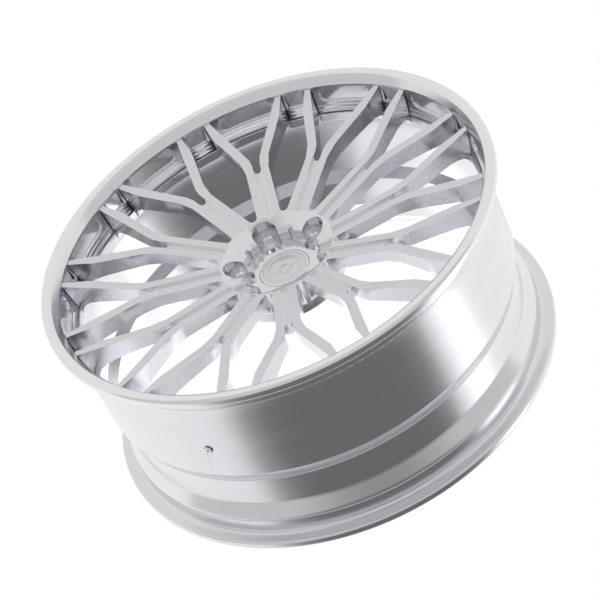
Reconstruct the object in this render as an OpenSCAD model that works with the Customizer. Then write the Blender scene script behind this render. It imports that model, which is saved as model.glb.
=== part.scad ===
// Two-piece forged road-racing wheel rim: twelve Y spokes, machined centre welded into a forged barrel.
// The wheel's axis is Y, its face looks along -Y, and the origin is the middle of the rim.

/* [Rim] */
// Outer radius of both rim flanges
rim_r = 299.1; // [298:0.1:300]
// Overall width across the flanges
rim_w = 266.7; // [264:0.1:270]
// Radius of the bead seats
seat_r = 281.8; // [281.5:0.1:282.2]
// Outer radius of the wide barrel behind the front bead seat
barrel_r = 279.2; // [279:0.1:279.6]
// Outer radius of the well near the rear bead seat
well_r = 271.6; // [270:0.1:272]
// Wall thickness of the barrel
wall = 5.2; // [5:0.1:5.4]
// Gap of the visible seam between the barrel and the spoke ends
seam_gap = 0.6; // [0.4:0.1:0.8]

/* [Spokes] */
// Number of Y spokes
spokes = 12; // [12:1:12]
// Width of a spoke's stem
stem_w = 31.6; // [30:0.1:33]
// Width of the slot where a spoke forks
fork_w = 10.6; // [9:0.1:11]
// Radius at which the fork slot ends
fork_r = 157; // [154:1:160]
// Width of a spoke's tip
tip_w = 7.2; // [6.5:0.1:8]
// Depth of the channel milled along each stem
channel_depth = 3; // [2:0.1:3.4]

/* [Hub] */
// Distance of the mounting face in front of the middle of the rim
inset = 35; // [34:0.5:36]
// Radius of the hub bore
bore_r = 33.3; // [33:0.05:33.5]
// Diameter of the bolt circle
bolt_pcd = 112; // [110:0.1:113]
// Number of wheel bolts
bolts = 5; // [5:1:5]
// Radius of a bolt hole
bolt_hole_r = 7.5; // [7:0.1:8]
// Radius of the well above each bolt hole
well_bolt_r = 16.4; // [15.5:0.1:17]
// Radius of the recess round the centre cap
recess_r = 50.8; // [50:0.1:52]
// Radius of the centre cap
cap_r = 33; // [32.5:0.1:33]

/* [Valve] */
// Angle of the valve round the rim
valve_angle = 60; // [59:1:61]
// Distance of the valve in front of the middle of the rim
valve_z = 28.7; // [26:0.1:32]

/* [Hidden] */
fine = 180;
mid = 64;
small = 32;
far = 400;                          // beyond everything, for cutters
front_z = rim_w / 2;                // plane of the front flange
spoke_pitch = 360 / spokes;
bolt_pitch = 360 / bolts;
first_bolt = 66;                    // angle of the first wheel bolt
silver = [0.80, 0.80, 0.81];
bright = [0.86, 0.86, 0.87];
rubber = [0.10, 0.10, 0.11];
brass = [0.78, 0.66, 0.38];

// The spoke face is one shallow cone from the hub pad to the tips.
face_in_r = 74.8;
face_in_z = front_z - 49.3;
tip_r = 278.6;
tip_z = front_z - 15;
face_slope = (tip_z - face_in_z) / (tip_r - face_in_r);
function face_z(r) = face_in_z + face_slope * (r - face_in_r);

// The centre's outer ring and the barrel's ledge in front of it meet at the seam.
ledge_z = front_z - 52.3;           // rear face of the ledge
ring_z = ledge_z - seam_gap;        // front face of the ring
ring_rear_z = ring_z - 11.4;
ring_out_r = 274;
ring_in_r = 268.3;
lip_in_r = 279.4;                   // where the lip's slope ends and the ledge begins
lip_in_z = front_z - 13.7;
ledge_in_r = 271.6;
step_r = ledge_in_r + 3.3;          // where the ledge's steps end and its smooth slope begins
step_z = ledge_z + 14.4;
slot_gap = 0.4;                     // room between a spoke's end and the floor of its slot

pad_z = front_z - 61.3;             // edge of the hub pad at the recess
floor_z = front_z - 77.7;           // floor of the recess, level with the cap's rim
bolt_floor_z = inset + 15;          // floor of a bolt well

// The point at radius r and angle a
function polar(r, a) = [r * cos(a), r * sin(a)];
// The point of line p-q at distance x along the first axis
function along(p, q, x) = p[1] + (q[1] - p[1]) * (x - p[0]) / (q[0] - p[0]);
// Arc of radius r round c from angle a to angle b in n steps
function arc(c, r, a, b, n) = [for (i = [0:n]) c + polar(r, a + (b - a) * i / n)];
function flip(points) = [for (i = [len(points) - 1:-1:0]) [points[i][0], -points[i][1]]];

module place() { rotate([90, 0, 0]) children(); }

module turned(points) { rotate_extrude($fn = fine) polygon(points); }

// Edges of one arm of a spoke, on the +y side of the spoke's own x axis
stem_side = stem_w / 2;
fork_side = fork_w / 2;
elbow_r = 182;
knee_r = 239;
arm_end_r = 280;
arm_out = [[160, stem_side], [elbow_r, 20.6], [knee_r, 46.8], [arm_end_r, 57.2]];
arm_in = [[170, fork_side], [elbow_r, 7.4], [knee_r, 32.3], [arm_end_r, 57.2 - tip_w]];
beyond_r = 330;                     // the windows run past the rim's ledge
out_end = [beyond_r, along(arm_out[2], arm_out[3], beyond_r)];
in_end = [beyond_r, along(arm_in[2], arm_in[3], beyond_r)];

// Window between the two arms of one spoke, with a round inner end
module fork_window() {
    side = [for (p = arm_in) if (p[0] < arm_end_r) p];
    polygon(concat(arc([fork_r + fork_side, 0], fork_side, 180, 90, 8),
                   side, [in_end], flip([in_end]), flip(side),
                   arc([fork_r + fork_side, 0], fork_side, -90, -170, 8)));
}

// Window between two neighbouring spokes, round at the hub
window_end_r = 83.5;
window_round = window_end_r * sin(spoke_pitch / 2) - stem_side;
function turn(p, a) = [p[0] * cos(a) - p[1] * sin(a), p[0] * sin(a) + p[1] * cos(a)];
module stem_window() {
    half = spoke_pitch / 2;
    edge = [for (p = concat([arm_out[0], arm_out[1], arm_out[2]], [out_end])) turn(p, -half)];
    polygon(concat(arc([window_end_r, 0], window_round, 180, 270 - half, 8),
                   edge, flip(edge),
                   flip(arc([window_end_r, 0], window_round, 180, 270 - half, 8))));
}

module windows() {
    for (i = [0:spokes - 1]) {
        rotate(i * spoke_pitch) fork_window();
        rotate((i + 0.5) * spoke_pitch) stem_window();
    }
}

// Straight milled groove along every stem, from the fork slot to the hub pad
module channels(side) {
    start = 78;
    for (i = [0:spokes - 1]) rotate(i * spoke_pitch) {
        translate([start, 0]) circle(r = side, $fn = small);
        translate([start, -side]) square([fork_r + fork_side - start, 2 * side]);
    }
}

// Everything above the spoke face lowered by depth
module above_face(depth) {
    turned([[60, face_z(60) - depth], [290, face_z(290) - depth], [290, far], [60, far]]);
}

module channel_cut() {
    wide = fork_side;
    narrow = fork_side - 1.7;
    intersection() {
        linear_extrude(far) channels(wide);
        above_face(channel_depth / 2);
    }
    intersection() {
        linear_extrude(far) channels(narrow);
        above_face(channel_depth);
    }
}

// Radial section of the centre: hub, spokes and the deep ends of the arms
module centre_section() {
    polygon([[bore_r + 0.4, floor_z], [recess_r, floor_z], [recess_r, pad_z - 1], [recess_r + 1, pad_z],
             [face_in_r, face_in_z], [tip_r, tip_z],
             [ring_out_r + 0.6, ring_z], [ring_out_r - 1, ring_rear_z + 2], [ring_in_r, ring_rear_z],
             [266.6, ring_rear_z + 7], [261.5, ring_rear_z + 13.5], [252, ring_rear_z + 17],
             [239, face_z(239) - 24.5], [209, face_z(209) - 21.5], [fork_r, face_z(fork_r) - 17.5],
             [95, face_z(95) - 18], [83, 58], [78, 50], [76.5, inset + 1.5], [75, inset],
             [bore_r + 1, inset], [bore_r, inset + 1], [bore_r, inset + 8], [29, inset + 8],
             [29, floor_z - 5.5], [bore_r + 0.1, floor_z - 5.5], [bore_r + 0.1, floor_z - 0.3]]);
}

module bolt_well() {
    seat_top_r = 11;
    seat_h = (seat_top_r - bolt_hole_r) / tan(30);
    translate([0, 0, bolt_floor_z]) cylinder(h = far, r = well_bolt_r, $fn = mid);
    translate([0, 0, bolt_floor_z - seat_h])
        cylinder(h = seat_h, r1 = bolt_hole_r, r2 = seat_top_r, $fn = mid);
    translate([0, 0, bolt_floor_z - 1]) cylinder(h = 2, r = seat_top_r, $fn = mid);
    translate([0, 0, inset - 5]) cylinder(h = 20, r = bolt_hole_r, $fn = mid);
}

// Weight-saving pocket in the mounting face, between two bolt holes
module rear_pocket() {
    translate([58, 0, inset - 5]) cylinder(h = 13, r = 9, $fn = mid);
}

module wheel_centre() color(silver) place() difference() {
    union() {
        difference() {
            rotate_extrude($fn = fine) centre_section();
            linear_extrude(far) windows();
        }
        turned([[ring_in_r, ring_rear_z], [ring_out_r, ring_rear_z],
                [ring_out_r, ring_z], [ring_in_r, ring_z]]);
    }
    channel_cut();
    for (i = [0:bolts - 1]) {
        rotate(first_bolt + i * bolt_pitch) translate([bolt_pcd / 2, 0, 0]) bolt_well();
        rotate(first_bolt + (i + 0.5) * bolt_pitch) {
            translate([recess_r + 0.8, 0, floor_z + 0.4]) cylinder(h = 40, r = 3.6, $fn = small);
            rear_pocket();
        }
    }
}

// Radial section of the barrel, outside first, from the front flange to the rear one
rear_z = -front_z;
inner_r = barrel_r - wall - 0.6;
well_in_r = well_r - wall;
lip_crest = 5;
module barrel_section() {
    polygon(concat(
        arc([rim_r - lip_crest, front_z - lip_crest], lip_crest, 90, 0, 8),
        arc([rim_r - 3, front_z - 9.5], 3, 0, -90, 6),
        [[rim_r - 8, front_z - 12.5]],
        arc([seat_r + 6.5, front_z - 19.5], 6.5, 90, 180, 6),
        [[seat_r - 1, front_z - 33], [seat_r - 0.5, front_z - 34.2], [seat_r - 0.9, front_z - 36.2],
         [barrel_r, front_z - 52], [barrel_r, -17],
         [barrel_r - 1.4, -22], [well_r + 1.4, -32], [well_r, -37], [well_r, rear_z + 57],
         [well_r + 1.2, rear_z + 53], [seat_r - 1.6, rear_z + 38.5], [seat_r - 0.5, rear_z + 35],
         [seat_r - 1, rear_z + 32.5]],
        arc([seat_r + 6.5, rear_z + 19.5], 6.5, 180, 270, 6),
        [[rim_r - 8, rear_z + 12.5]],
        arc([rim_r - 3, rear_z + 9.5], 3, 90, 0, 6),
        arc([rim_r - lip_crest, rear_z + lip_crest], lip_crest, 0, -90, 8),
        [[rim_r - 13, rear_z + 1.5], [lip_in_r - 0.5, rear_z + 12], [seat_r - 6.2, rear_z + 19],
         [seat_r - 6.2, rear_z + 38], [well_in_r, rear_z + 54], [well_in_r, -36],
         [inner_r, -19], [inner_r, 52], [275, ring_rear_z - 5], [ring_out_r, ring_rear_z - 4.5],
         [ring_out_r, ledge_z], [ledge_in_r, ledge_z], [ledge_in_r + 0.3, ledge_z + 4],
         [ledge_in_r + 1.5, ledge_z + 5.2], [ledge_in_r + 1.8, ledge_z + 9.2],
         [ledge_in_r + 3, ledge_z + 10.4], [step_r, step_z], [lip_in_r, lip_in_z],
         [rim_r - 14.2, front_z - 3.6], [rim_r - 12.6, front_z - 1.4], [rim_r - 10, front_z - 0.2]]));
}

// Slots in the ledge, one round each spoke end
cutter_in_r = 262;                  // the cutters start inside the ledge
module slot_outline() {
    for (m = [0, 1]) mirror([0, m]) polygon([
        [knee_r, arm_in[2][1] - seam_gap], [knee_r, arm_out[2][1] + seam_gap],
        [beyond_r, out_end[1] + seam_gap], [beyond_r, in_end[1] - seam_gap]]);
}
module slot_cut() intersection() {
    translate([0, 0, ledge_z - 2]) linear_extrude(60)
        for (i = [0:spokes - 1]) rotate(i * spoke_pitch) slot_outline();
    turned([[cutter_in_r, ledge_z - 1], [275, ledge_z - 1], [275, ledge_z],
            [279, lip_in_z - 2.2], [279, lip_in_z - 1], [cutter_in_r, lip_in_z - 1]]);
}

// Pockets milled into the ledge: a long one inside each fork and a short one between two spokes
pocket_half_h = 11;
pocket_z = lip_in_z - 12.4;
long_half = 37;                     // half the length of a long pocket
long_corner = 10;
short_half = 12;
short_corner = 3;
module pocket(half, corner, steps) {
    up = pocket_half_h - corner;
    out = half - corner;
    translate([cutter_in_r, 0, pocket_z]) rotate([0, 90, 0]) linear_extrude(30)
        polygon(concat(arc([up, out], corner, 0, 90, steps), arc([-up, out], corner, 90, 180, steps),
                       arc([-up, -out], corner, 180, 270, steps), arc([up, -out], corner, 270, 360, steps)));
}
module pocket_cut() intersection() {
    union() for (i = [0:spokes - 1]) {
        rotate(i * spoke_pitch) pocket(long_half, long_corner, 8);
        rotate((i + 0.5) * spoke_pitch) pocket(short_half, short_corner, 3);
    }
    turned([[cutter_in_r - 2, step_z - 5], [step_r + 2.4, step_z - 5], [step_r + 4.2, lip_in_z + 1],
            [cutter_in_r - 2, lip_in_z + 1]]);
}

// The valve's own frame: z = 0 on its outer flat, pointing to the wheel's axis
valve_seat_r = barrel_r - 0.6;
valve_wall = valve_seat_r - inner_r - 0.6;
valve_hole_r = 4.2;
module valve_place() {
    place() translate([0, 0, valve_z]) rotate([0, 0, valve_angle]) translate([valve_seat_r, 0, 0])
        rotate([0, -90, 0]) children();
}

module barrel() color(bright) difference() {
    place() difference() {
        rotate_extrude($fn = fine) barrel_section();
        slot_cut();
        pocket_cut();
    }
    valve_place() {
        translate([0, 0, -10]) cylinder(h = 30, r = valve_hole_r, $fn = mid);
        translate([0, 0, -10]) cylinder(h = 10, r = 6.2, $fn = mid);
        translate([0, 0, valve_wall]) cylinder(h = 10, r = 9, $fn = mid);
    }
}

// Fillet weld that joins the rear of the centre's ring to the barrel
module rim_weld() color(silver) place() {
    leg = 4.2;
    turned([[ring_out_r, ring_rear_z], [ring_out_r - leg, ring_rear_z],
            [ring_out_r - leg * 0.62, ring_rear_z - leg * 0.62], [ring_out_r, ring_rear_z - leg]]);
}

// Centre cap and the pieces that hold it
cap_top_z = floor_z + 0.5;
skirt_r = 28.7;
groove_z = inset + 12.4;
module centre_cap() color(silver) place() turned([
    [0, cap_top_z - 3], [0, cap_top_z - 0.9], [29.2, cap_top_z - 0.9], [29.2, cap_top_z],
    [cap_r - 0.8, cap_top_z], [cap_r, cap_top_z - 0.8], [cap_r, floor_z - 5],
    [cap_r - 1.6, floor_z - 5], [cap_r - 1.6, floor_z - 4.2],
    [cap_r - 3.2, floor_z - 4.2], [cap_r - 3.2, floor_z - 5], [skirt_r, floor_z - 5],
    [skirt_r, groove_z + 0.6], [skirt_r - 0.9, groove_z + 0.6], [skirt_r - 0.9, groove_z - 0.6],
    [skirt_r, groove_z - 0.6], [skirt_r, inset + 9.6], [skirt_r - 0.8, inset + 8.8],
    [skirt_r - 2.6, inset + 8.8], [skirt_r - 2.6, cap_top_z - 3]]);

// Plain disc let into the cap, with a ring and three chevrons engraved in it
module cap_emblem() color([0.82, 0.82, 0.83]) place() difference() {
    translate([0, 0, cap_top_z - 0.9]) cylinder(h = 0.8, r = 29, $fn = fine);
    translate([0, 0, cap_top_z - 0.45]) difference() {
        cylinder(h = 1, r = 24.6, $fn = fine);
        translate([0, 0, -1]) cylinder(h = 3, r = 23.4, $fn = fine);
    }
    for (i = [0:2]) rotate(90 + i * 120) translate([0, 0, cap_top_z - 0.45]) linear_extrude(1)
        polygon([[7, 0], [2, 8], [7, 8], [13, 0], [7, -8], [2, -8]]);
}

module cap_spring_ring() color(bright) place() translate([0, 0, groove_z])
    rotate_extrude($fn = fine) translate([skirt_r - 0.35, 0]) circle(r = 0.5, $fn = small);

module cap_seal() color(rubber) place() translate([0, 0, floor_z - 4.82])
    rotate_extrude($fn = fine) translate([cap_r - 2.4, 0]) circle(r = 0.6, $fn = small);

// Valve: every piece is turned about the valve's own axis
nut_z = valve_wall + 1.2;
stem_end = 36;
module valve_stem() color(brass) valve_place() difference() {
    turned([[0, -3], [4.4, -3], [5, -2.4], [5, -1], [4, -1], [4, 16], [3.4, 17], [3.4, 24], [3.85, 24.6],
            [3.85, stem_end - 0.6], [3.3, stem_end], [0, stem_end]]);
    translate([0, 0, -4]) cylinder(h = 14, r = 1.6, $fn = small);
    translate([0, 0, 9]) cylinder(h = 40, r = 2.5, $fn = small);
}

module washer(z, h, inner, outer) {
    translate([0, 0, z]) difference() {
        cylinder(h = h, r = outer, $fn = mid);
        translate([0, 0, -1]) cylinder(h = h + 2, r = inner, $fn = mid);
    }
}

module valve_seal() color(rubber) valve_place() washer(-1, 1, 4.05, 4.9);

module valve_washer() color(bright) valve_place() washer(valve_wall, 1.2, 4.1, 7.4);

module valve_nut() color(bright) valve_place() translate([0, 0, nut_z]) difference() {
    intersection() {
        cylinder(h = 5, r = 6 / cos(30), $fn = 6);
        translate([0, 0, -0.01]) cylinder(h = 5.02, r1 = 7.4, r2 = 6.2, $fn = mid);
    }
    translate([0, 0, -1]) cylinder(h = 7, r = 4.05, $fn = mid);
}

// Valve core, from the rim inwards: cup seal, spring in its barrel, plug near the mouth
module core_plug() color(brass) valve_place() difference() {
    translate([0, 0, 29]) cylinder(h = 5.4, r = 2.45, $fn = small);
    translate([0, 0, 28]) cylinder(h = 8, r = 1, $fn = small);
    translate([-0.5, -4, 32.4]) cube([1, 8, 3]);
}

module core_barrel() color(brass) valve_place() difference() {
    translate([0, 0, 15]) cylinder(h = 11, r = 2, $fn = small);
    translate([0, 0, 16]) cylinder(h = 12, r = 1.5, $fn = small);
    translate([0, 0, 14]) cylinder(h = 4, r = 0.75, $fn = small);
}

module core_gasket() color([0.85, 0.30, 0.22]) valve_place() difference() {
    translate([0, 0, 26]) cylinder(h = 3, r1 = 2.1, r2 = 2.48, $fn = small);
    translate([0, 0, 25]) cylinder(h = 5, r = 1.2, $fn = small);
}

module core_pin() color(bright) valve_place() {
    translate([0, 0, 13.5]) cylinder(h = 22, r = 0.6, $fn = small);
    translate([0, 0, 13]) cylinder(h = 1, r = 1.9, $fn = small);
    translate([0, 0, 24.6]) cylinder(h = 0.6, r = 1.1, $fn = small);
}

module core_cup_seal() color(rubber) valve_place() washer(14, 0.95, 0.6, 1.9);

// Return spring round the pin, swept as a helix
spring_turns = 6;
spring_steps = 12;
spring_sides = 6;
spring_r = 1.05;
spring_wire = 0.16;
spring_z = 16.3;
spring_h = 8;
function spring_ring(i) = let (a = 360 * i / spring_steps)
    [for (j = [0:spring_sides - 1]) let (b = 360 * j / spring_sides)
        [(spring_r + spring_wire * cos(b)) * cos(a), (spring_r + spring_wire * cos(b)) * sin(a),
         spring_z + spring_h * i / (spring_steps * spring_turns) + spring_wire * sin(b)]];
module core_spring() color(bright) valve_place() {
    last = spring_turns * spring_steps;
    points = [for (i = [0:last]) each spring_ring(i)];
    sides = [for (i = [0:last - 1]) for (j = [0:spring_sides - 1]) let (k = (j + 1) % spring_sides)
        [i * spring_sides + j, (i + 1) * spring_sides + j, (i + 1) * spring_sides + k, i * spring_sides + k]];
    start = [for (j = [0:spring_sides - 1]) j];
    end = [for (j = [spring_sides - 1:-1:0]) last * spring_sides + j];
    polyhedron(points, concat(sides, [start], [end]));
}

// Cap that screws over the valve's mouth
cap_grips = 12;
module valve_cap() color(bright) valve_place() difference() {
    turned([[0, stem_end + 0.8], [3.95, stem_end + 0.8], [3.95, 26], [4.6, 26], [5, 26.4], [5, 38.4],
            [4.2, 39.4], [0, 39.4]]);
    for (i = [0:cap_grips - 1]) rotate(i * 360 / cap_grips) translate([5.3, 0, 28])
        cylinder(h = 9, r = 0.6, $fn = small);
}

module valve_cap_gasket() color(rubber) valve_place() washer(stem_end + 0.05, 0.7, 2.9, 3.8);

barrel();
wheel_centre();
rim_weld();
centre_cap();
cap_emblem();
cap_spring_ring();
cap_seal();
valve_stem();
valve_seal();
valve_washer();
valve_nut();
core_plug();
core_barrel();
core_gasket();
core_pin();
core_cup_seal();
core_spring();
valve_cap();
valve_cap_gasket();
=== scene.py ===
"""Finished look of a two-piece forged wheel rim: pieces, metal finishes and a plain stage.

The wheel's axis is Y and its face looks along -Y. Lengths are in metres.
"""

import math

import bpy
from mathutils import Matrix, Vector


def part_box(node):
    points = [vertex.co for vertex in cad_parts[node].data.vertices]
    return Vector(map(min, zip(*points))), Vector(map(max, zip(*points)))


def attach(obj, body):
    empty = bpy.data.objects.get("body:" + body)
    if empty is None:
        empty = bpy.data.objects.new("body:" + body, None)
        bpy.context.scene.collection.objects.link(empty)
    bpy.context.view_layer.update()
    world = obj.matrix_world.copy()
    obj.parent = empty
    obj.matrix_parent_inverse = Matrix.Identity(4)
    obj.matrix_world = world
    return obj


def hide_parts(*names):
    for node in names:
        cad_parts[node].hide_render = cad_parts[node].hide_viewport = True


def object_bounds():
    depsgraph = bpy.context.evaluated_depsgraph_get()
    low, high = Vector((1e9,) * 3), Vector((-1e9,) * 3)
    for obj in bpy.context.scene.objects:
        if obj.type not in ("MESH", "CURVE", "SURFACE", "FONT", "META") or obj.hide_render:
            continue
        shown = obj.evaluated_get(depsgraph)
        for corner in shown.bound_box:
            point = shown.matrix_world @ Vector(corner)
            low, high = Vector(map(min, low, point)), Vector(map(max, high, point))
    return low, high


bl_info = {
    "name": "Forged Wheel Rim",
    "version": (1, 0, 0),
    "blender": (4, 5, 0),
    "location": "View3D > Sidebar > Wheel Rim",
    "description": "Finishes the pieces of a two-piece forged wheel rim and sets its stage",
    "category": "Object",
}

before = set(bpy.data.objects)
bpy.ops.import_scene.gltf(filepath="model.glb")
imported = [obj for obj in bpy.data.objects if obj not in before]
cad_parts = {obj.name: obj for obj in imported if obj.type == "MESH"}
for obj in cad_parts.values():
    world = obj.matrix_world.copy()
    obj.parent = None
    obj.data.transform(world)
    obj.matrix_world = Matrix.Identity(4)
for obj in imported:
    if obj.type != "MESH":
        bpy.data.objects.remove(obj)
CAD_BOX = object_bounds()

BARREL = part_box("barrel")
FRONT_Y = BARREL[0].y
SPOKE_PITCH = 30.0
BOLTS = 5
BOLT_CIRCLE = 0.056
FIRST_BOLT = math.radians(66)
BOLT_SEAT_RADIUS = 0.0112
BOLT_SEAT_Y = FRONT_Y + 0.0832
BOLT_WELL_RADIUS = 0.017
HUB_RADIUS = 0.0742
RING_RADIUS = 0.274
SEAM_DEPTH = 0.0526
SEAM_Y = FRONT_Y + SEAM_DEPTH
WELD_Y = FRONT_Y + 0.0643
LEDGE_DEPTH = 0.0530
LEDGE_REACH = 0.2797
LIP_DEPTH = 0.0165
LIP_INNER_RADIUS = 0.2788


# ---------------------------------------------------------------- settings


class WheelRimSettings(bpy.types.PropertyGroup):
    """Sizes and colours of the finished wheel rim"""

    silver: bpy.props.FloatVectorProperty(
        name="Silver",
        description="Colour of the clear-coated aluminium",
        subtype="COLOR",
        size=3,
        min=0.0,
        max=1.0,
        default=(0.80, 0.80, 0.815),
    )
    face_silver: bpy.props.FloatVectorProperty(
        name="Spoke face",
        description="Colour of the satin faces of the spokes",
        subtype="COLOR",
        size=3,
        min=0.0,
        max=1.0,
        default=(0.74, 0.74, 0.755),
    )
    polished: bpy.props.FloatVectorProperty(
        name="Polished edge",
        description="Colour of the chamfers and of the polished lip",
        subtype="COLOR",
        size=3,
        min=0.0,
        max=1.0,
        default=(0.90, 0.90, 0.905),
    )
    brass: bpy.props.FloatVectorProperty(
        name="Brass",
        description="Colour of the valve core",
        subtype="COLOR",
        size=3,
        min=0.0,
        max=1.0,
        default=(0.72, 0.55, 0.26),
    )
    rubber: bpy.props.FloatVectorProperty(
        name="Rubber",
        description="Colour of the seals",
        subtype="COLOR",
        size=3,
        min=0.0,
        max=1.0,
        default=(0.022, 0.022, 0.024),
    )
    gasket: bpy.props.FloatVectorProperty(
        name="Gasket",
        description="Colour of the valve core's gasket",
        subtype="COLOR",
        size=3,
        min=0.0,
        max=1.0,
        default=(0.55, 0.09, 0.05),
    )
    chamfer: bpy.props.FloatProperty(
        name="Chamfer",
        description="Width of the broken edges of the machined pieces",
        subtype="DISTANCE",
        unit="LENGTH",
        min=0.0001,
        max=0.001,
        default=0.0004,
    )
    weld_ripple: bpy.props.FloatProperty(
        name="Weld ripple",
        description="Height of the ripples of the weld bead",
        subtype="DISTANCE",
        unit="LENGTH",
        min=0.0,
        max=0.0006,
        default=0.0003,
    )
    floor_tone: bpy.props.FloatProperty(
        name="Floor tone",
        description="Brightness of the floor as the metal reflects it",
        min=0.0,
        max=2.0,
        default=0.84,
    )
    far_floor_tone: bpy.props.FloatProperty(
        name="Far floor tone",
        description="Brightness of the floor behind the wheel as the metal reflects it",
        min=0.0,
        max=2.0,
        default=0.98,
    )
    sky_tone: bpy.props.FloatProperty(
        name="Studio tone",
        description="Brightness of the studio's walls",
        min=0.0,
        max=3.0,
        default=0.64,
    )
    shade_tone: bpy.props.FloatProperty(
        name="Shaded wall",
        description="Brightness of the dark part of the studio, up and behind the wheel",
        min=0.0,
        max=1.0,
        default=0.165,
    )


def settings():
    return bpy.context.scene.wheel_rim


# ---------------------------------------------------------------- tools


def only(piece):
    """Leaves one piece selected and active, in object mode."""
    if bpy.context.object and bpy.context.object.mode != "OBJECT":
        bpy.ops.object.mode_set(mode="OBJECT")
    bpy.ops.object.select_all(action="DESELECT")
    if piece:
        piece.select_set(True)
        bpy.context.view_layer.objects.active = piece


def take_copy(node, name, flat=0.3):
    """Copies a node of the design model as one merged mesh."""
    only(None)
    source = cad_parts[node]
    piece = source.copy()
    piece.data = source.data.copy()
    piece.name = name
    piece.data.name = name
    bpy.context.scene.collection.objects.link(piece)
    piece.parent = None
    piece.matrix_world = Matrix.Identity(4)
    piece.data.materials.clear()
    only(piece)
    bpy.ops.mesh.customdata_custom_splitnormals_clear()
    bpy.ops.object.mode_set(mode="EDIT")
    bpy.ops.mesh.select_all(action="SELECT")
    bpy.ops.mesh.remove_doubles(threshold=0.000004)
    if flat:
        bpy.ops.mesh.dissolve_limited(angle_limit=math.radians(flat))
    bpy.ops.object.mode_set(mode="OBJECT")
    return piece


def give_materials(piece, materials):
    for material in materials:
        piece.data.materials.append(material)


def break_edges(piece, width, angle=28.0, edge_slot=-1, segments=2, shading=None):
    """Cuts a small chamfer on every sharp edge and shades the rest smooth."""
    only(piece)
    bevel = piece.modifiers.new("Broken edges", "BEVEL")
    bevel.width = width
    bevel.segments = segments
    bevel.limit_method = "ANGLE"
    bevel.angle_limit = math.radians(angle)
    bevel.use_clamp_overlap = False
    bevel.material = edge_slot
    bpy.ops.object.modifier_apply(modifier=bevel.name)
    smooth(piece, shading or angle + 4)


def smooth(piece, angle):
    only(piece)
    bpy.ops.object.shade_smooth_by_angle(angle=math.radians(angle))


def part_finishes(piece, edge_slot):
    """Keeps the border between two finishes crisp in the shading."""
    first = {}
    borders = set()
    for face in piece.data.polygons:
        for key in face.edge_keys:
            other = first.setdefault(key, face.material_index)
            if other != face.material_index and edge_slot not in (other, face.material_index):
                borders.add(key)
    for edge in piece.data.edges:
        if edge.key in borders:
            edge.use_edge_sharp = True


def finish_piece(piece, body, slot, *nodes):
    """Fixes a piece to its body and hides the nodes it stands for."""
    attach(piece, body)
    if nodes:
        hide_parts(*nodes)


def polar(vector):
    return math.hypot(vector.x, vector.z), math.atan2(vector.z, vector.x)


def from_stem(angle):
    """Degrees between a direction round the axle and the nearest spoke's stem."""
    half = SPOKE_PITCH / 2
    return abs((math.degrees(angle) + half) % SPOKE_PITCH - half)


# ---------------------------------------------------------------- shared effects


def new_group(name, inputs, outputs):
    """Makes a shader node group with named sockets: (name, socket type, default)."""
    group = bpy.data.node_groups.new(name, "ShaderNodeTree")
    for label, kind, default in inputs:
        socket = group.interface.new_socket(label, in_out="INPUT", socket_type=kind)
        if default is not None:
            socket.default_value = default
    for label, kind in outputs:
        group.interface.new_socket(label, in_out="OUTPUT", socket_type=kind)
    enter = group.nodes.new("NodeGroupInput")
    leave = group.nodes.new("NodeGroupOutput")
    return group, enter, leave


def math_node(tree, operation, first, second=None, clamp=False):
    node = tree.nodes.new("ShaderNodeMath")
    node.operation = operation
    node.use_clamp = clamp
    for socket, value in zip(node.inputs, (first, second)):
        if value is None:
            continue
        if isinstance(value, (int, float)):
            socket.default_value = value
        else:
            tree.links.new(value, socket)
    return node.outputs[0]


def wheel_coordinates(tree):
    """Radius from the axle, place along it, and the direction round it."""
    place = tree.nodes.new("ShaderNodeTexCoord")
    parts = tree.nodes.new("ShaderNodeSeparateXYZ")
    tree.links.new(place.outputs["Object"], parts.inputs[0])
    x, y, z = parts.outputs
    x_squared = math_node(tree, "MULTIPLY", x, x)
    z_squared = math_node(tree, "MULTIPLY", z, z)
    radius = math_node(tree, "SQRT", math_node(tree, "ADD", x_squared, z_squared))
    return place.outputs["Object"], x, y, z, radius


def joined(tree, x, y, z):
    node = tree.nodes.new("ShaderNodeCombineXYZ")
    for socket, value in zip(node.inputs, (x, y, z)):
        if isinstance(value, (int, float)):
            socket.default_value = value
        else:
            tree.links.new(value, socket)
    return node.outputs[0]


def noise(tree, vector, scale, detail=2.0, roughness=0.55):
    node = tree.nodes.new("ShaderNodeTexNoise")
    node.noise_dimensions = "3D"
    node.inputs["Detail"].default_value = detail
    node.inputs["Roughness"].default_value = roughness
    if isinstance(scale, (int, float)):
        node.inputs["Scale"].default_value = scale
    else:
        tree.links.new(scale, node.inputs["Scale"])
    tree.links.new(vector, node.inputs["Vector"])
    return node.outputs["Fac"]


def spread(tree, value, low, high, start=0.3, end=0.7):
    """Maps a noise value onto the range low to high."""
    node = tree.nodes.new("ShaderNodeMapRange")
    node.inputs["From Min"].default_value = start
    node.inputs["From Max"].default_value = end
    for label, bound in (("To Min", low), ("To Max", high)):
        if isinstance(bound, (int, float)):
            node.inputs[label].default_value = bound
        else:
            tree.links.new(bound, node.inputs[label])
    tree.links.new(value, node.inputs["Value"])
    return node.outputs["Result"]


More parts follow.
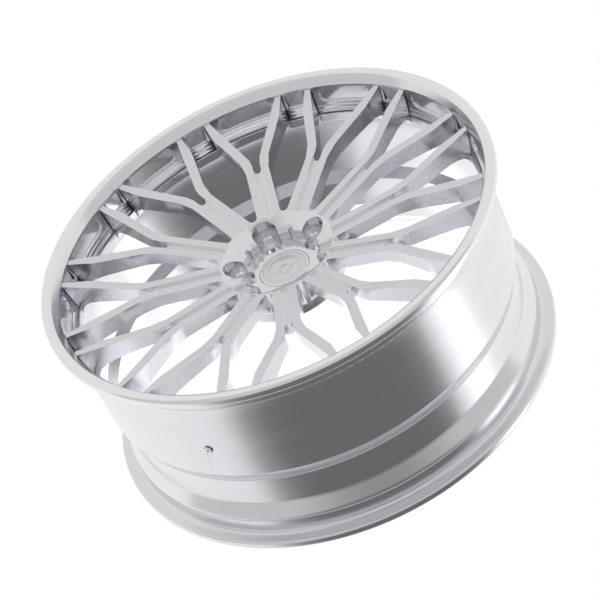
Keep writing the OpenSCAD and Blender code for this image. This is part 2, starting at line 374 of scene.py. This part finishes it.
def turning_marks():
    """Fine circles left by a lathe round the axle, from 0 to 1."""
    name = "Turning marks"
    if name in bpy.data.node_groups:
        return bpy.data.node_groups[name]
    group, enter, leave = new_group(
        name,
        [("Pitch", "NodeSocketFloat", 900.0), ("Waver", "NodeSocketFloat", 6.0)],
        [("Marks", "NodeSocketFloat"), ("Bands", "NodeSocketFloat")],
    )
    _, x, y, z, radius = wheel_coordinates(group)
    pitch = enter.outputs["Pitch"]
    sway = enter.outputs["Waver"]
    ring = joined(
        group,
        math_node(group, "MULTIPLY", radius, pitch),
        math_node(group, "MULTIPLY", y, pitch),
        0.0,
    )
    waver = joined(
        group,
        math_node(group, "MULTIPLY", x, sway),
        0.0,
        math_node(group, "MULTIPLY", z, sway),
    )
    total = group.nodes.new("ShaderNodeVectorMath")
    total.operation = "ADD"
    group.links.new(ring, total.inputs[0])
    group.links.new(waver, total.inputs[1])
    group.links.new(noise(group, total.outputs[0], 1.0, 3.0, 0.6), leave.inputs["Marks"])
    group.links.new(noise(group, total.outputs[0], 0.06, 2.0, 0.5), leave.inputs["Bands"])
    return group


def brushed_grain():
    """Short straight scratches that run outwards from the hub, from 0 to 1."""
    name = "Brushed grain"
    if name in bpy.data.node_groups:
        return bpy.data.node_groups[name]
    group, enter, leave = new_group(
        name,
        [("Fineness", "NodeSocketFloat", 700.0), ("Length", "NodeSocketFloat", 40.0)],
        [("Grain", "NodeSocketFloat"), ("Cloud", "NodeSocketFloat")],
    )
    place, x, y, z, radius = wheel_coordinates(group)
    safe = math_node(group, "MAXIMUM", radius, 0.005)
    lanes = math_node(group, "MULTIPLY", enter.outputs["Fineness"], 0.2)
    across = math_node(group, "MULTIPLY", math_node(group, "DIVIDE", x, safe), lanes)
    around = math_node(group, "MULTIPLY", math_node(group, "DIVIDE", z, safe), lanes)
    reach = math_node(group, "ADD", radius, math_node(group, "MULTIPLY", y, 6.0))
    out = math_node(group, "MULTIPLY", reach, enter.outputs["Length"])
    lines = noise(group, joined(group, across, out, around), 1.0, 3.0, 0.6)
    group.links.new(lines, leave.inputs["Grain"])
    group.links.new(noise(group, place, 38.0, 4.0, 0.6), leave.inputs["Cloud"])
    return group


def fine_blast():
    """Even satin texture of a clear-coated or cast surface, and soft smudges."""
    name = "Satin texture"
    if name in bpy.data.node_groups:
        return bpy.data.node_groups[name]
    group, enter, leave = new_group(
        name,
        [("Fineness", "NodeSocketFloat", 2600.0)],
        [("Texture", "NodeSocketFloat"), ("Smudge", "NodeSocketFloat")],
    )
    place, *_ = wheel_coordinates(group)
    group.links.new(noise(group, place, enter.outputs["Fineness"], 2.0, 0.5), leave.inputs["Texture"])
    group.links.new(noise(group, place, 22.0, 5.0, 0.62), leave.inputs["Smudge"])
    return group


def use_group(tree, group, **values):
    node = tree.nodes.new("ShaderNodeGroup")
    node.node_tree = group
    for label, value in values.items():
        node.inputs[label].default_value = value
    return node


def new_material(name):
    material = bpy.data.materials.new(name)
    material.use_nodes = True
    tree = material.node_tree
    tree.nodes.clear()
    shader = tree.nodes.new("ShaderNodeBsdfPrincipled")
    output = tree.nodes.new("ShaderNodeOutputMaterial")
    tree.links.new(shader.outputs[0], output.inputs["Surface"])
    return material, tree, shader


def tinted(tree, factor, low, high):
    """Mixes two colours by a factor from 0 to 1."""
    node = tree.nodes.new("ShaderNodeMix")
    node.data_type = "RGBA"
    node.inputs["A"].default_value = (*low, 1.0)
    node.inputs["B"].default_value = (*high, 1.0)
    tree.links.new(factor, node.inputs["Factor"])
    return node.outputs["Result"]


def bump(tree, shader, height, distance, strength=0.3):
    node = tree.nodes.new("ShaderNodeBump")
    node.inputs["Strength"].default_value = strength
    node.inputs["Distance"].default_value = distance
    tree.links.new(height, node.inputs["Height"])
    tree.links.new(node.outputs["Normal"], shader.inputs["Normal"])


def scaled(colour, factor):
    return tuple(min(1.0, value * factor) for value in colour)


def turned_metal(name, colour, roughness, pitch=900.0, depth=0.00001, vary=0.06):
    """Aluminium turned on a lathe."""
    material, tree, shader = new_material(name)
    marks = use_group(tree, turning_marks(), Pitch=pitch)
    satin = use_group(tree, fine_blast())
    shader.inputs["Metallic"].default_value = 1.0
    fine = math_node(tree, "MULTIPLY", marks.outputs["Marks"], 0.6)
    broad = math_node(tree, "MULTIPLY", marks.outputs["Bands"], 0.4)
    shade = math_node(tree, "ADD", fine, broad)
    colours = tinted(tree, spread(tree, shade, 0.0, 1.0), scaled(colour, 0.95), scaled(colour, 1.03))
    tree.links.new(colours, shader.inputs["Base Color"])
    grain = spread(tree, marks.outputs["Marks"], roughness - vary, roughness + vary)
    smudge = spread(tree, satin.outputs["Smudge"], -0.5 * vary, 0.7 * vary)
    tree.links.new(math_node(tree, "ADD", grain, smudge, clamp=True), shader.inputs["Roughness"])
    bump(tree, shader, marks.outputs["Marks"], depth)
    return material


def brushed_metal(name, colour, roughness, fineness=700.0, length=40.0, depth=0.00001, vary=0.07):
    """Aluminium brushed outwards from the hub."""
    material, tree, shader = new_material(name)
    grain = use_group(tree, brushed_grain(), Fineness=fineness, Length=length)
    shader.inputs["Metallic"].default_value = 1.0
    shade = spread(tree, grain.outputs["Grain"], 0.0, 1.0)
    colours = tinted(tree, shade, scaled(colour, 0.94), scaled(colour, 1.04))
    tree.links.new(colours, shader.inputs["Base Color"])
    lines = spread(tree, grain.outputs["Grain"], roughness - vary, roughness + vary)
    cloud = spread(tree, grain.outputs["Cloud"], -0.4 * vary, 0.6 * vary)
    tree.links.new(math_node(tree, "ADD", lines, cloud, clamp=True), shader.inputs["Roughness"])
    bump(tree, shader, grain.outputs["Grain"], depth)
    return material


def satin_metal(name, colour, roughness, fineness=2600.0, depth=0.000006, vary=0.05):
    """Aluminium with an even satin finish under clear coat."""
    material, tree, shader = new_material(name)
    satin = use_group(tree, fine_blast(), Fineness=fineness)
    grain = use_group(tree, brushed_grain(), Fineness=900.0, Length=30.0)
    shader.inputs["Metallic"].default_value = 1.0
    half_satin = math_node(tree, "MULTIPLY", satin.outputs["Texture"], 0.5)
    half_grain = math_node(tree, "MULTIPLY", grain.outputs["Grain"], 0.5)
    mixed = math_node(tree, "ADD", half_satin, half_grain)
    colours = tinted(tree, spread(tree, mixed, 0.0, 1.0), scaled(colour, 0.96), scaled(colour, 1.02))
    tree.links.new(colours, shader.inputs["Base Color"])
    rough = spread(tree, mixed, roughness - vary, roughness + vary)
    smudge = spread(tree, satin.outputs["Smudge"], -0.5 * vary, 0.7 * vary)
    tree.links.new(math_node(tree, "ADD", rough, smudge, clamp=True), shader.inputs["Roughness"])
    bump(tree, shader, mixed, depth)
    return material


def soft_material(name, colour, roughness, fineness=3000.0):
    """Moulded rubber with a faint skin and dust."""
    material, tree, shader = new_material(name)
    satin = use_group(tree, fine_blast(), Fineness=fineness)
    dust = spread(tree, satin.outputs["Smudge"], 0.0, 0.35, 0.45, 0.8)
    tree.links.new(tinted(tree, dust, colour, scaled(colour, 2.2)), shader.inputs["Base Color"])
    skin = spread(tree, satin.outputs["Texture"], roughness - 0.08, roughness + 0.08)
    tree.links.new(skin, shader.inputs["Roughness"])
    bump(tree, shader, satin.outputs["Texture"], 0.00002)
    return material


_finishes = {}


def finish(name):
    """The wheel's finishes, each made once."""
    if name in _finishes:
        return _finishes[name]
    look = settings()
    silver = tuple(look.silver)
    face = tuple(look.face_silver)
    polished = tuple(look.polished)
    brass = tuple(look.brass)
    # The barrel's inside is the same turned aluminium as its outside; its lighter, lavender tint is
    # painted light and reflection.
    inside = (0.87, 0.865, 0.89)
    ledge = (0.79, 0.785, 0.82)
    side = (0.74, 0.735, 0.775)
    makers = {
        "barrel outside": lambda: turned_metal("barrel_outside", silver, 0.2, 700.0, 6e-7, 0.025),
        "barrel inside": lambda: turned_metal("barrel_inside_painted_light", inside, 0.2, 500.0, 6e-7, 0.025),
        "lip": lambda: turned_metal("polished_lip", scaled(polished, 0.96), 0.18, 1100.0, 4e-7, 0.02),
        "pocket": lambda: brushed_metal("milled_pocket", silver, 0.16, 900.0, 60.0, 6e-7, 0.03),
        "ledge": lambda: turned_metal("turned_ledge", ledge, 0.13, 900.0, 4e-7, 0.02),
        "edge": lambda: turned_metal("broken_edge", polished, 0.14, 1200.0, 4e-7, 0.02),
        "spoke face": lambda: satin_metal("spoke_face", face, 0.4, 2600.0, 1e-6),
        "spoke side": lambda: brushed_metal("spoke_side", side, 0.24, 800.0, 26.0, 6e-7, 0.03),
        "hub": lambda: turned_metal("turned_hub", scaled(silver, 0.98), 0.14, 1400.0, 5e-7, 0.02),
        "rear": lambda: turned_metal("turned_rear", scaled(silver, 0.94), 0.26, 600.0, 2e-6, 0.05),
        "bolt seat": lambda: satin_metal("bolt_seat", scaled(polished, 0.95), 0.22, 1800.0),
        # Near-black finish for the gaps at the seam and beside the spoke tips: painted shade, not the
        # metal's colour.
        "groove": lambda: satin_metal("dark_groove", (0.10, 0.10, 0.105), 0.5),
        "weld": lambda: satin_metal("weld_bead", scaled(silver, 0.85), 0.33, 900.0, 3e-5),
        "steel": lambda: satin_metal("spring_steel", (0.55, 0.55, 0.56), 0.28, 1500.0),
        "plated": lambda: satin_metal("plated_valve", (0.78, 0.78, 0.79), 0.18, 1500.0),
        "brass": lambda: satin_metal("valve_brass", brass, 0.26, 1500.0),
        "rubber": lambda: soft_material("seal_rubber", tuple(look.rubber), 0.55),
        "gasket": lambda: soft_material("core_gasket_rubber", tuple(look.gasket), 0.5),
    }
    _finishes[name] = makers[name]()
    return _finishes[name]


# ---------------------------------------------------------------- pieces


LEDGE_STEPS = (
    (0.0137, 0.2794),
    (0.0379, 0.2749),
    (0.0419, 0.2713),
    (0.0431, 0.2701),
    (0.0471, 0.2698),
    (0.0483, 0.2686),
    (0.0523, 0.2683),
)


def ledge_radius(depth):
    """Radius of the plain ledge inside the lip, at a depth behind the front."""
    for (near, wide), (far, narrow) in zip(LEDGE_STEPS, LEDGE_STEPS[1:]):
        if near <= depth <= far:
            return wide + (narrow - wide) * (depth - near) / (far - near)
    return LEDGE_STEPS[0][1] if depth < LEDGE_STEPS[0][0] else LEDGE_STEPS[-1][1]


class WHEELRIM_OT_barrel(bpy.types.Operator):
    """Finishes the forged barrel with its lip, ledge pockets and bead seats"""

    bl_idname = "wheel_rim.barrel"
    bl_label = "Barrel"
    bl_options = {"REGISTER", "UNDO"}

    def execute(self, context):
        piece = take_copy("barrel", "barrel_shell", 0.0)
        looks = ("barrel outside", "barrel inside", "lip", "pocket", "edge", "ledge", "groove")
        slots = {look: number for number, look in enumerate(looks)}
        give_materials(piece, [finish(look) for look in looks])
        for face in piece.data.polygons:
            radius, angle = polar(face.center)
            depth = face.center.y - FRONT_Y
            along = face.normal.x * face.center.x + face.normal.z * face.center.z
            outwards = along / max(radius, 1e-6)
            if depth < LIP_DEPTH and radius > LIP_INNER_RADIUS:
                look = "lip"
            elif outwards < 0.25 and radius < LEDGE_REACH and depth < LEDGE_DEPTH:
                sunk = radius > ledge_radius(depth) + 0.0003
                # Walls of the slots beside the spoke tips get the near-black finish: painted shade in
                # the gaps.
                if 9.8 < from_stem(angle) < 12.6 and (sunk or abs(outwards) < 0.3):
                    look = "groove"
                else:
                    look = "pocket" if sunk else "ledge"
            elif outwards < 0.0:
                look = "barrel inside"
            else:
                look = "barrel outside"
            face.material_index = slots[look]
        break_edges(piece, settings().chamfer, 24.0, slots["edge"], shading=14.5)
        # Chamfers beside the spoke tips and along the seam turn near-black too: painted shade in the
        # gaps.
        for face in piece.data.polygons:
            radius, angle = polar(face.center)
            depth = face.center.y - FRONT_Y
            beside_tip = 9.6 < from_stem(angle) < 12.8 and depth < LEDGE_DEPTH
            beside_ring = SEAM_DEPTH - 0.0011 < depth < SEAM_DEPTH + 0.0019
            if face.material_index == slots["edge"] and radius < 0.2785 and (beside_tip or beside_ring):
                face.material_index = slots["groove"]
        part_finishes(piece, slots["edge"])
        finish_piece(piece, "rim", "barrel", "barrel")
        return {"FINISHED"}


class WHEELRIM_OT_centre(bpy.types.Operator):
    """Finishes the machined centre: hub, twelve forked spokes and outer ring"""

    bl_idname = "wheel_rim.centre"
    bl_label = "Wheel Centre"
    bl_options = {"REGISTER", "UNDO"}

    def execute(self, context):
        piece = take_copy("wheel_centre", "spoked_centre", 0.0)
        looks = ("spoke face", "spoke side", "hub", "rear", "bolt seat", "edge")
        slots = {look: number for number, look in enumerate(looks)}
        give_materials(piece, [finish(look) for look in looks])
        turns = [FIRST_BOLT + math.tau * k / BOLTS for k in range(BOLTS)]
        bolts = [(BOLT_CIRCLE * math.cos(a), BOLT_CIRCLE * math.sin(a)) for a in turns]
        for face in piece.data.polygons:
            centre = face.center
            radius, _ = polar(centre)
            away = min(math.hypot(centre.x - x, centre.z - z) for x, z in bolts)
            if away < BOLT_SEAT_RADIUS and centre.y > BOLT_SEAT_Y:
                look = "bolt seat"
            elif radius < HUB_RADIUS or away < BOLT_WELL_RADIUS:
                look = "hub" if face.normal.y < 0.5 else "rear"
            elif face.normal.y < -0.8:
                look = "spoke face"
            elif face.normal.y > 0.6:
                look = "rear"
            else:
                look = "spoke side"
            face.material_index = slots[look]
        break_edges(piece, settings().chamfer, 30.0, slots["edge"], shading=22.0)
        part_finishes(piece, slots["edge"])
        finish_piece(piece, "rim", "machined", "wheel_centre")
        return {"FINISHED"}


class WHEELRIM_OT_weld(bpy.types.Operator):
    """Lays the rippled weld bead that joins the centre to the barrel"""

    bl_idname = "wheel_rim.weld"
    bl_label = "Weld Bead"
    bl_options = {"REGISTER", "UNDO"}

    def execute(self, context):
        only(None)
        around = 540
        bpy.ops.mesh.primitive_torus_add(
            major_segments=around,
            minor_segments=12,
            major_radius=RING_RADIUS - 0.0013,
            minor_radius=0.0022,
            location=(0, WELD_Y + 0.0012, 0),
            rotation=(math.pi / 2, 0, 0),
        )
        piece = bpy.context.object
        piece.name = piece.data.name = "weld_bead_ring"
        bpy.ops.object.transform_apply(location=True, rotation=True, scale=True)
        bpy.ops.object.mode_set(mode="EDIT")
        bpy.ops.mesh.select_all(action="DESELECT")
        bpy.ops.object.mode_set(mode="OBJECT")
        for vertex in piece.data.vertices:
            _, angle = polar(vertex.co)
            vertex.select = round(angle / math.tau * around) % 3 == 0
        bpy.ops.object.mode_set(mode="EDIT")
        bpy.ops.mesh.select_mode(type="VERT")
        bpy.ops.transform.shrink_fatten(value=-settings().weld_ripple)
        bpy.ops.object.mode_set(mode="OBJECT")
        piece.data.materials.append(finish("weld"))
        smooth(piece, 60)
        finish_piece(piece, "rim", "weld", "rim_weld")
        return {"FINISHED"}


class WHEELRIM_OT_seams(bpy.types.Operator):
    """Puts a dark ring into the gap of the seam between barrel and centre: painted shade, standing in
    for the shadow in the gap
    """

    bl_idname = "wheel_rim.seams"
    bl_label = "Seam Gap Shade"
    bl_options = {"REGISTER", "UNDO"}

    def execute(self, context):
        only(None)
        # A near-black band set into the seam's gap: painted shade where the gap lies in shadow.
        bpy.ops.mesh.primitive_circle_add(
            vertices=360,
            radius=0.2724,
            fill_type="NOTHING",
            location=(0, SEAM_Y - 0.00028, 0),
            rotation=(math.pi / 2, 0, 0),
        )
        piece = bpy.context.object
        piece.name = piece.data.name = "seam_sealing"
        bpy.ops.object.transform_apply(location=True, rotation=True, scale=True)
        bpy.ops.object.mode_set(mode="EDIT")
        bpy.ops.mesh.select_all(action="SELECT")
        bpy.ops.mesh.extrude_region_move(TRANSFORM_OT_translate={"value": (0, 0.00056, 0)})
        bpy.ops.mesh.select_all(action="SELECT")
        bpy.ops.mesh.extrude_region_move()
        bpy.ops.transform.resize(value=(1.0055, 1.0, 1.0055), center_override=(0, 0, 0))
        bpy.ops.object.mode_set(mode="OBJECT")
        close_band(piece)
        piece.data.materials.append(finish("groove"))
        smooth(piece, 30)
        finish_piece(piece, "rim", "weld")
        return {"FINISHED"}


def close_band(piece):
    """Merges a band's doubles and turns its faces outwards."""
    only(piece)
    bpy.ops.object.mode_set(mode="EDIT")
    bpy.ops.mesh.select_all(action="SELECT")
    bpy.ops.mesh.remove_doubles(threshold=0.00001)
    bpy.ops.mesh.normals_make_consistent(inside=False)
    bpy.ops.object.mode_set(mode="OBJECT")


class WHEELRIM_OT_cap(bpy.types.Operator):
    """Finishes the centre cap, its engraved disc, spring ring and seal"""

    bl_idname = "wheel_rim.cap"
    bl_label = "Centre Cap"
    bl_options = {"REGISTER", "UNDO"}

    def execute(self, context):
        shell = take_copy("centre_cap", "cap_shell")
        give_materials(shell, [finish("hub"), finish("edge")])
        break_edges(shell, 0.00035, 28.0, 1)
        finish_piece(shell, "centre_cap", "machined", "centre_cap")
        disc = take_copy("cap_emblem", "cap_disc")
        give_materials(disc, [finish("spoke face"), finish("edge")])
        break_edges(disc, 0.00015, 28.0, 1)
        finish_piece(disc, "centre_cap", "emblem", "cap_emblem")
        ring = take_copy("cap_spring_ring", "cap_ring", 0.01)
        ring.data.materials.append(finish("steel"))
        smooth(ring, 60)
        finish_piece(ring, "centre_cap", "steel", "cap_spring_ring")
        seal = take_copy("cap_seal", "cap_o_ring", 0.01)
        seal.data.materials.append(finish("rubber"))
        smooth(seal, 60)
        finish_piece(seal, "centre_cap", "rubber", "cap_seal")
        return {"FINISHED"}


VALVE_PIECES = (
    ("valve_stem", "stem_of_valve", "rim", "brass", "plated", 0.0002),
    ("valve_seal", "seal_of_valve", "rim", "rubber", "rubber", 0.0),
    ("valve_washer", "washer_of_valve", "rim", "plated", "plated", 0.0002),
    ("valve_nut", "nut_of_valve", "rim", "plated", "plated", 0.0003),
    ("core_plug", "plug_of_core", "rim", "brass", "brass", 0.0001),
    ("core_barrel", "barrel_of_core", "rim", "brass", "brass", 0.0001),
    ("core_gasket", "gasket_of_core", "rim", "gasket", "gasket", 0.0),
    ("core_spring", "spring_of_core", "rim", "steel", "steel", 0.0),
    ("core_pin", "pin_of_core", "valve_pin", "brass", "brass", 0.0001),
    ("core_cup_seal", "cup_of_core", "valve_pin", "rubber", "rubber", 0.0),
    ("valve_cap", "cap_of_valve", "valve_cap", "plated", "plated", 0.0002),
    ("valve_cap_gasket", "gasket_of_cap", "cap_carrier", "rubber", "rubber", 0.0),
)


class WHEELRIM_OT_valve(bpy.types.Operator):
    """Finishes the valve: stem, nut, seals, core and screwed cap"""

    bl_idname = "wheel_rim.valve"
    bl_label = "Valve"
    bl_options = {"REGISTER", "UNDO"}

    def execute(self, context):
        for node, name, body, slot, look, width in VALVE_PIECES:
            if node == "core_spring":
                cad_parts[node].data.materials.clear()
                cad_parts[node].data.materials.append(finish(look))
                continue
            piece = take_copy(node, name)
            give_materials(piece, [finish(look)])
            if width:
                break_edges(piece, width, 35.0, -1)
            else:
                smooth(piece, 40)
            finish_piece(piece, body, slot, node)
        return {"FINISHED"}


# ---------------------------------------------------------------- stage


CAMERA_PLACE = Vector((-0.3402, -1.6958, 2.1454))
CAMERA_RIGHT = Vector((-0.92685, 0.35180, 0.13114))
CAMERA_UP = Vector((-0.35454, -0.70514, -0.61408))
CAMERA_BACK = Vector((-0.12357, -0.61564, 0.77828))


SHADE_CENTRE = (-0.09, 0.616, 0.78)
LAMPS = (
    ((-0.777, 0.62, 0.108), 13.0, 21.0, 1.5),
    ((0.77, 0.62, 0.135), 16.0, 26.0, 0.95),
    ((0.0, 1.0, -0.12), 16.0, 34.0, 1.1),
)


def studio_light(world, tone, shade):
    """White walls, a soft dark part up and behind, and a plain white to the eye."""
    world.use_nodes = True
    tree = world.node_tree
    tree.nodes.clear()
    place = tree.nodes.new("ShaderNodeTexCoord")
    output = tree.nodes.new("ShaderNodeOutputWorld")

    def facing(direction, inner, outer):
        dot = tree.nodes.new("ShaderNodeVectorMath")
        dot.operation = "DOT_PRODUCT"
        dot.inputs[1].default_value = Vector(direction).normalized()
        tree.links.new(place.outputs["Generated"], dot.inputs[0])
        node = tree.nodes.new("ShaderNodeMapRange")
        node.interpolation_type = "SMOOTHSTEP"
        node.inputs["From Min"].default_value = math.cos(math.radians(outer))
        node.inputs["From Max"].default_value = math.cos(math.radians(inner))
        tree.links.new(dot.outputs["Value"], node.inputs["Value"])
        return node.outputs["Result"]

    strength = tree.nodes.new("ShaderNodeValue")
    strength.outputs[0].default_value = tone
    level = strength.outputs[0]
    for direction, inner, outer, brightness in (*LAMPS, (SHADE_CENTRE, 27.0, 55.0, shade)):
        mix = tree.nodes.new("ShaderNodeMix")
        mix.data_type = "FLOAT"
        mix.inputs["B"].default_value = brightness
        tree.links.new(facing(direction, inner, outer), mix.inputs["Factor"])
        tree.links.new(level, mix.inputs["A"])
        level = mix.outputs["Result"]
    lamp = tree.nodes.new("ShaderNodeBackground")
    lamp.inputs["Color"].default_value = (0.985, 0.985, 1.0, 1.0)
    tree.links.new(level, lamp.inputs["Strength"])
    plain = tree.nodes.new("ShaderNodeBackground")
    plain.inputs["Color"].default_value = (1.0, 1.0, 1.0, 1.0)
    plain.inputs["Strength"].default_value = 1.0
    rays = tree.nodes.new("ShaderNodeLightPath")
    mix = tree.nodes.new("ShaderNodeMixShader")
    tree.links.new(rays.outputs["Is Camera Ray"], mix.inputs[0])
    tree.links.new(lamp.outputs[0], mix.inputs[1])
    tree.links.new(plain.outputs[0], mix.inputs[2])
    tree.links.new(mix.outputs[0], output.inputs["Surface"])


# Place and brightness of a painted pool of light on the floor.
LIGHT_POOL_PLACE = (0.0, 0.62)
LIGHT_POOL_TONE = 1.7


def floor_material(tone, far_tone):
    """White floor, plain to the eye; in reflections it brightens towards the back."""
    material = bpy.data.materials.new("studio_floor")
    material.use_nodes = True
    tree = material.node_tree
    tree.nodes.clear()
    output = tree.nodes.new("ShaderNodeOutputMaterial")
    eye = tree.nodes.new("ShaderNodeEmission")
    eye.inputs["Color"].default_value = (1.0, 1.0, 1.0, 1.0)
    eye.inputs["Strength"].default_value = 1.0
    glow = tree.nodes.new("ShaderNodeEmission")
    glow.inputs["Color"].default_value = (1.0, 1.0, 1.0, 1.0)
    place = tree.nodes.new("ShaderNodeTexCoord")
    parts = tree.nodes.new("ShaderNodeSeparateXYZ")
    tree.links.new(place.outputs["Object"], parts.inputs[0])
    level = spread(tree, parts.outputs["Y"], tone, far_tone, -0.1, 0.35)
    # Painted pool of light: a glowing patch on the floor behind the wheel, seen only in reflections and
    # in the light it casts on the wheel.
    patch = tree.nodes.new("ShaderNodeVectorMath")
    patch.operation = "DISTANCE"
    patch.inputs[1].default_value = (*LIGHT_POOL_PLACE, CAD_BOX[0].z)
    tree.links.new(place.outputs["Object"], patch.inputs[0])
    lit = tree.nodes.new("ShaderNodeMix")
    lit.data_type = "FLOAT"
    lit.inputs["B"].default_value = LIGHT_POOL_TONE
    near = spread(tree, patch.outputs["Value"], 1.0, 0.0, 0.3, 0.45)
    tree.links.new(near, lit.inputs["Factor"])
    tree.links.new(level, lit.inputs["A"])
    tree.links.new(lit.outputs["Result"], glow.inputs["Strength"])
    rays = tree.nodes.new("ShaderNodeLightPath")
    mix = tree.nodes.new("ShaderNodeMixShader")
    tree.links.new(rays.outputs["Is Camera Ray"], mix.inputs[0])
    tree.links.new(glow.outputs[0], mix.inputs[1])
    tree.links.new(eye.outputs[0], mix.inputs[2])
    tree.links.new(mix.outputs[0], output.inputs["Surface"])
    return material


class WHEELRIM_OT_stage(bpy.types.Operator):
    """Sets the pale floor, the soft studio light and the camera"""

    bl_idname = "wheel_rim.stage"
    bl_label = "Stage"
    bl_options = {"REGISTER", "UNDO"}

    def execute(self, context):
        look = settings()
        only(None)
        bpy.ops.mesh.primitive_plane_add(size=30.0, location=(0, 0, CAD_BOX[0].z - 0.0005))
        floor = bpy.context.object
        floor.name = floor.data.name = "studio_floor"
        bpy.ops.object.transform_apply(location=True, rotation=True, scale=True)
        floor.data.materials.append(floor_material(look.floor_tone, look.far_floor_tone))
        world = bpy.data.worlds.new("studio")
        context.scene.world = world
        studio_light(world, look.sky_tone, look.shade_tone)
        context.scene.view_settings.view_transform = "Standard"
        camera = bpy.data.objects.new("studio_camera", bpy.data.cameras.new("studio_camera"))
        context.scene.collection.objects.link(camera)
        camera.data.lens = 130.4
        camera.data.sensor_width = 36.0
        turn = Matrix((CAMERA_RIGHT, CAMERA_UP, CAMERA_BACK)).transposed().to_4x4()
        camera.matrix_world = Matrix.Translation(CAMERA_PLACE) @ turn
        context.scene.camera = camera
        return {"FINISHED"}


# ---------------------------------------------------------------- panel


class WHEELRIM_PT_panel(bpy.types.Panel):
    """Lists the steps that finish the wheel rim"""

    bl_idname = "WHEELRIM_PT_panel"
    bl_label = "Wheel Rim"
    bl_space_type = "VIEW_3D"
    bl_region_type = "UI"
    bl_category = "Wheel Rim"

    def draw(self, context):
        column = self.layout.column(align=True)
        for operator in OPERATORS:
            column.operator(operator.bl_idname)
        box = self.layout.box()
        for name in WheelRimSettings.__annotations__:
            box.prop(context.scene.wheel_rim, name)


OPERATORS = (
    WHEELRIM_OT_barrel,
    WHEELRIM_OT_centre,
    WHEELRIM_OT_weld,
    WHEELRIM_OT_seams,
    WHEELRIM_OT_cap,
    WHEELRIM_OT_valve,
    WHEELRIM_OT_stage,
)
CLASSES = (WheelRimSettings, *OPERATORS, WHEELRIM_PT_panel)


def register():
    for item in CLASSES:
        bpy.utils.register_class(item)
    bpy.types.Scene.wheel_rim = bpy.props.PointerProperty(type=WheelRimSettings)


def unregister():
    del bpy.types.Scene.wheel_rim
    for item in reversed(CLASSES):
        bpy.utils.unregister_class(item)


def main():
    register()
    bpy.ops.wheel_rim.barrel()
    bpy.ops.wheel_rim.centre()
    bpy.ops.wheel_rim.weld()
    bpy.ops.wheel_rim.seams()
    bpy.ops.wheel_rim.cap()
    bpy.ops.wheel_rim.valve()
    bpy.ops.wheel_rim.stage()


if __name__ == "__main__":
    main()
